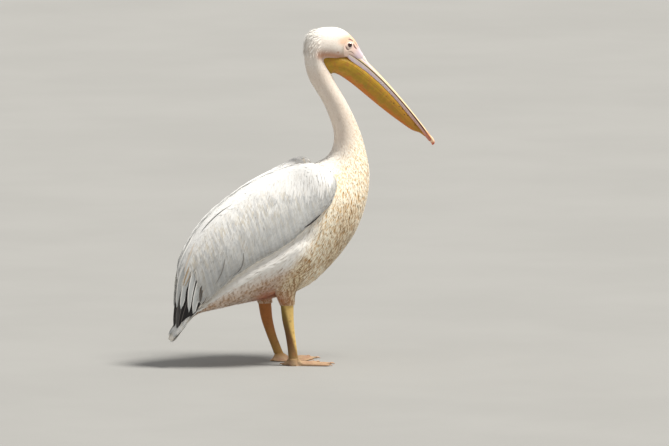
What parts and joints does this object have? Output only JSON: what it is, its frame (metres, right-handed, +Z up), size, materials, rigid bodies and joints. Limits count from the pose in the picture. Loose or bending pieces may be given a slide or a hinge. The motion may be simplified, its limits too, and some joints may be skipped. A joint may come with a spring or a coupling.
{
  "type": "pelican model",
  "caption": "Life-size still model of a standing great white pelican with folded wings, webbed feet and a long bill held down, for natural history displays.",
  "frame": {"origin": "centre of the base of the bounding box, on the floor between the feet", "axes": "+X the way the bird faces, +Y its left side, +Z up"},
  "size_m": [0.8451, 0.3066, 1.044],
  "materials": {
    "feathers": "matt, soft, creamy white feathers, buff on the breast",
    "wing_feathers": "matt, white and pale grey feathers with dark flight feather tips",
    "bill": "satin horn, lilac pink with a cream ridge",
    "bill_nail": "satin red-orange horn",
    "pouch_skin": "satin ochre yellow skin",
    "leg_skin": "matt scaly yellow-orange skin, flesh pink on the feet",
    "claw": "satin horn",
    "eye": "wet dark red-brown"
  },
  "bodies": {
    "root": {"bill_lower": "bill", "bill_nail": "bill_nail", "bill_upper": "bill", "claw_hind_left": "claw", "claw_hind_right": "claw", "claw_inner_left": "claw", "claw_inner_right": "claw", "claw_middle_left": "claw", "claw_middle_right": "claw", "claw_outer_left": "claw", "claw_outer_right": "claw", "eye_left": "eye", "eye_right": "eye", "foot_left": "leg_skin", "foot_right": "leg_skin", "head": "feathers", "neck_lower": "feathers", "neck_middle": "feathers", "neck_upper": "feathers", "pouch": "pouch_skin", "shank_left": "leg_skin", "shank_right": "leg_skin", "tail": "feathers", "thigh_left": "feathers", "thigh_right": "feathers", "trunk": "feathers", "wing_left": "wing_feathers", "wing_right": "wing_feathers"}
  },
  "joints": []
}
